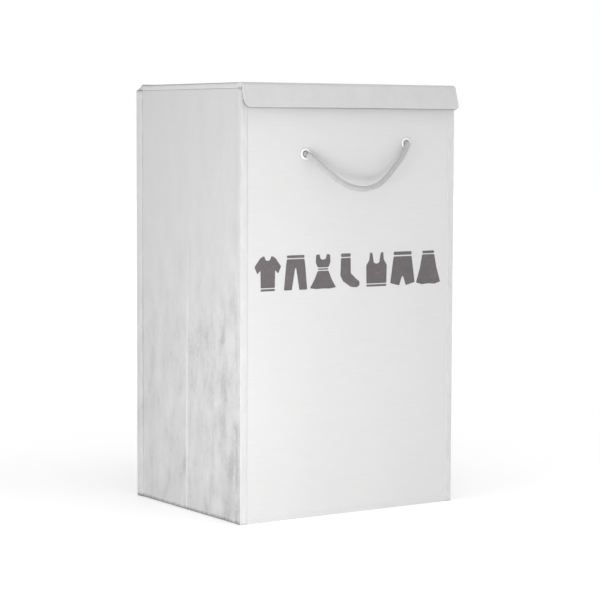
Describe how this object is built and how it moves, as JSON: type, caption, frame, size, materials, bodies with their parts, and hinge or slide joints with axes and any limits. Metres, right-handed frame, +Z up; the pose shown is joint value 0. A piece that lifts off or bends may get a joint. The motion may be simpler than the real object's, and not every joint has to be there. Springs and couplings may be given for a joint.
{
  "type": "laundry hamper",
  "caption": "Tall rectangular foldable laundry hamper in light grey cloth, with a hinged lid, a front flap, a row of pictograms and rope handles hung from eyelets.",
  "frame": {"origin": "centre of the base, on the floor under the cloth bottom", "axes": "+Z up, -Y out of the front panel with the pictograms, +X to the right seen from the front"},
  "size_m": [0.3618, 0.3402, 0.6],
  "materials": {
    "front_cloth": "matte",
    "side_cloth": "matte",
    "tape": "matte",
    "lining": "matte",
    "mat": "matte",
    "board": "matte",
    "eyelet": "gloss",
    "rope": "matte",
    "print": "matte"
  },
  "bodies": {
    "back": {"back_cover": "side_cloth", "back_board": "board", "back_lining": "lining", "back_left_tape": "tape", "back_right_tape": "tape", "back_left_eyelet": "eyelet", "back_left_washer": "eyelet", "back_left_knot": "rope", "back_right_eyelet": "eyelet", "back_right_washer": "eyelet", "back_right_knot": "rope", "lid_hinge_cloth": "side_cloth", "floor_cloth": "side_cloth", "floor_mat": "mat"},
    "left_rear": {"left_rear_cover": "side_cloth", "left_rear_board": "board", "left_rear_lining": "lining", "left_rear_seam": "side_cloth"},
    "left_front": {"left_front_cover": "side_cloth", "left_front_board": "board", "left_front_lining": "lining"},
    "front": {"front_cover": "front_cloth", "front_board": "board", "front_lining": "lining", "front_left_tape": "tape", "front_right_tape": "tape", "front_left_eyelet": "eyelet", "front_left_washer": "eyelet", "front_left_knot": "rope", "front_right_eyelet": "eyelet", "front_right_washer": "eyelet", "front_right_knot": "rope"},
    "right_rear": {"right_rear_cover": "side_cloth", "right_rear_board": "board", "right_rear_lining": "lining", "right_rear_seam": "side_cloth"},
    "right_front": {"right_front_cover": "side_cloth", "right_front_board": "board", "right_front_lining": "lining"},
    "lid": {"lid_cover": "side_cloth", "lid_board": "board", "lid_lining": "lining", "flap_crease_cloth": "side_cloth"},
    "flap": {"flap_cover": "side_cloth", "flap_board": "board", "flap_lining": "lining"},
    "front_handle": {"front_rope": "rope"},
    "back_handle": {"back_rope": "rope"}
  },
  "joints": [
    {"name": "side_fold", "type": "hinge", "parent": "back", "child": "left_rear", "pos_m": [-0.1752, 0.1377, 0.297], "axis": [0, 0, -1], "range_deg": [-70, 0], "deforming": ["floor_cloth", "floor_mat"]},
    {"name": "left_crease", "type": "hinge", "parent": "left_rear", "child": "left_front", "pos_m": [-0.18, 0, 0.297], "axis": [0, 0, -1], "range_deg": [0, 140]},
    {"name": "front_corner", "type": "hinge", "parent": "left_front", "child": "front", "pos_m": [-0.1752, -0.1377, 0.297], "axis": [0, 0, -1], "range_deg": [-70, 0]},
    {"name": "right_rear_corner", "type": "hinge", "parent": "back", "child": "right_rear", "pos_m": [0.1752, 0.1377, 0.297], "axis": [0, 0, -1], "range_deg": [0, 70]},
    {"name": "right_crease", "type": "hinge", "parent": "right_rear", "child": "right_front", "pos_m": [0.18, 0, 0.297], "axis": [0, 0, -1], "range_deg": [-140, 0]},
    {"name": "lid_hinge", "type": "hinge", "parent": "back", "child": "lid", "pos_m": [0, 0.1425, 0.5943], "axis": [-1, 0, 0], "range_deg": [0, 210], "deforming": ["lid_hinge_cloth"]},
    {"name": "flap_crease", "type": "hinge", "parent": "lid", "child": "flap", "pos_m": [0, -0.1434, 0.595], "axis": [-1, 0, 0], "range_deg": [-8, 80], "deforming": ["flap_crease_cloth"]},
    {"name": "front_handle_swing", "type": "hinge", "parent": "front", "child": "front_handle", "pos_m": [-0.076, -0.1481, 0.5055], "axis": [-0.9964, 0, -0.0842], "range_deg": [0, 120]},
    {"name": "back_handle_swing", "type": "hinge", "parent": "back", "child": "back_handle", "pos_m": [0.076, 0.1481, 0.5055], "axis": [0.9964, 0, -0.0842], "range_deg": [0, 120]}
  ],
  "couplings": [
    {"joint": "left_crease", "follows": "side_fold", "ratio": -2},
    {"joint": "front_corner", "follows": "side_fold", "ratio": 1},
    {"joint": "right_rear_corner", "follows": "side_fold", "ratio": -1},
    {"joint": "right_crease", "follows": "side_fold", "ratio": 2}
  ]
}
